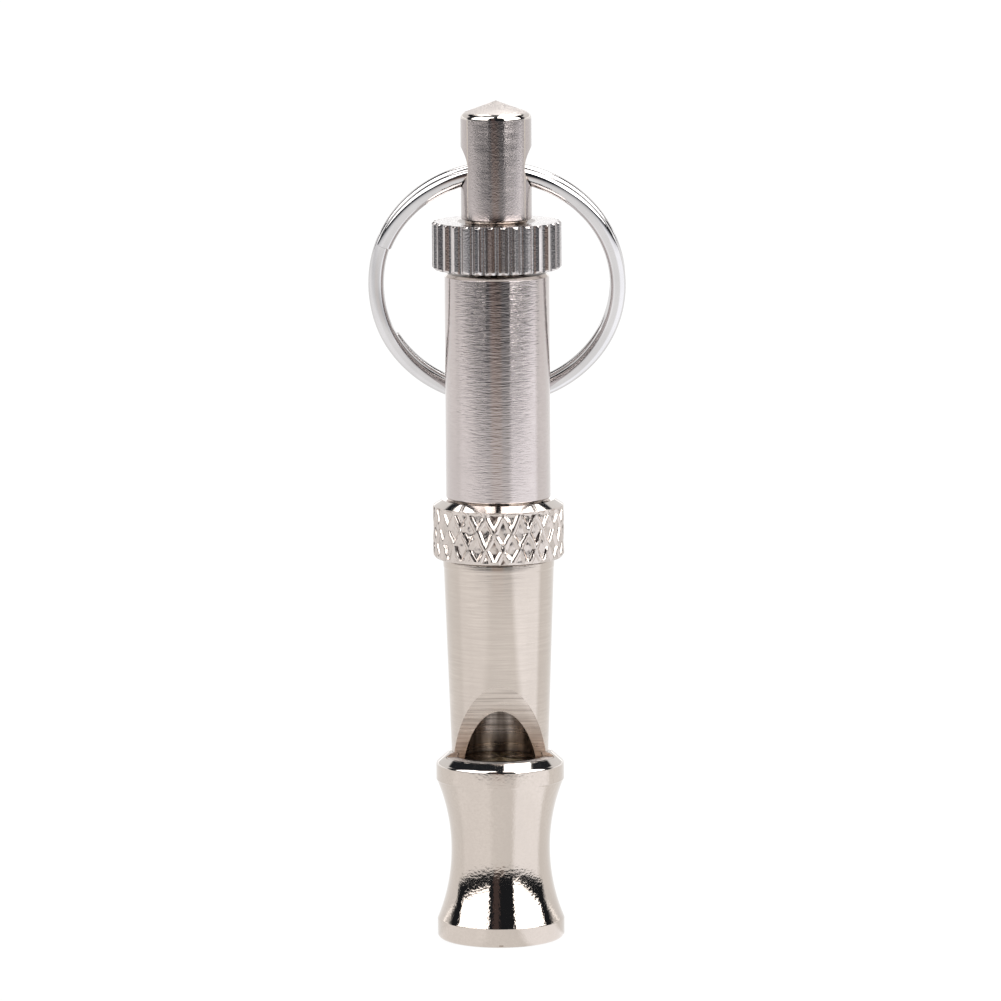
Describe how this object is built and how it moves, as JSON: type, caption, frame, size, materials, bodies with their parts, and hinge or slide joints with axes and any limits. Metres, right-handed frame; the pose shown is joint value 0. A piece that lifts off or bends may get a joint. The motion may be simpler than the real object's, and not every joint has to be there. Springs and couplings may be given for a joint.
{
  "type": "training whistle",
  "caption": "Slim metal whistle with an hourglass mouthpiece, a milled window, a knurled collar, a fluted lock nut and a tuning screw whose drilled head carries a split ring.",
  "frame": {"origin": "middle of the mouth end's flat face", "axes": "+Z along the whistle from the mouth end to the ring end; the window faces -Y; the cross hole that holds the ring runs along X"},
  "size_m": [0.0244, 0.0139, 0.08],
  "materials": {
    "satin_nickel": "nickel plate over fine turning lines, satin",
    "bright_nickel": "polished nickel plate",
    "ring_steel": "bright nickel-plated spring steel",
    "plain_brass": "plain turned brass",
    "seal_rubber": "matt black rubber"
  },
  "bodies": {
    "body": {"mouthpiece": "satin_nickel", "windway_plug": "plain_brass", "whistle_tube": "satin_nickel", "knurled_collar": "bright_nickel", "upper_barrel": "satin_nickel"},
    "nut": {"lock_nut": "bright_nickel"},
    "piston": {"plunger": "plain_brass", "plunger_seal": "seal_rubber"},
    "screw": {"tuning_screw": "bright_nickel", "plunger_screw": "plain_brass"},
    "ring": {"split_ring": "ring_steel"}
  },
  "joints": [
    {"name": "tuning_travel", "type": "slide", "parent": "body", "child": "piston", "axis": [0, 0, 1], "range_m": [0, 0.009]},
    {"name": "tuning_turn", "type": "hinge", "parent": "piston", "child": "screw", "pos_m": [0, 0, 0.0245], "axis": [0, 0, 1], "range_deg": [0, 3240]},
    {"name": "lock_nut_turn", "type": "hinge", "parent": "body", "child": "nut", "pos_m": [0, 0, 0.0641], "axis": [0, 0, 1], "range_deg": [0, 90]},
    {"name": "ring_swing", "type": "hinge", "parent": "screw", "child": "ring", "pos_m": [0, 0, 0.07375], "axis": [1, 0, 0], "range_deg": [0, 327.6]}
  ],
  "couplings": [
    {"joint": "tuning_turn", "follows": "tuning_travel", "rad_per_m": 6283.2}
  ]
}
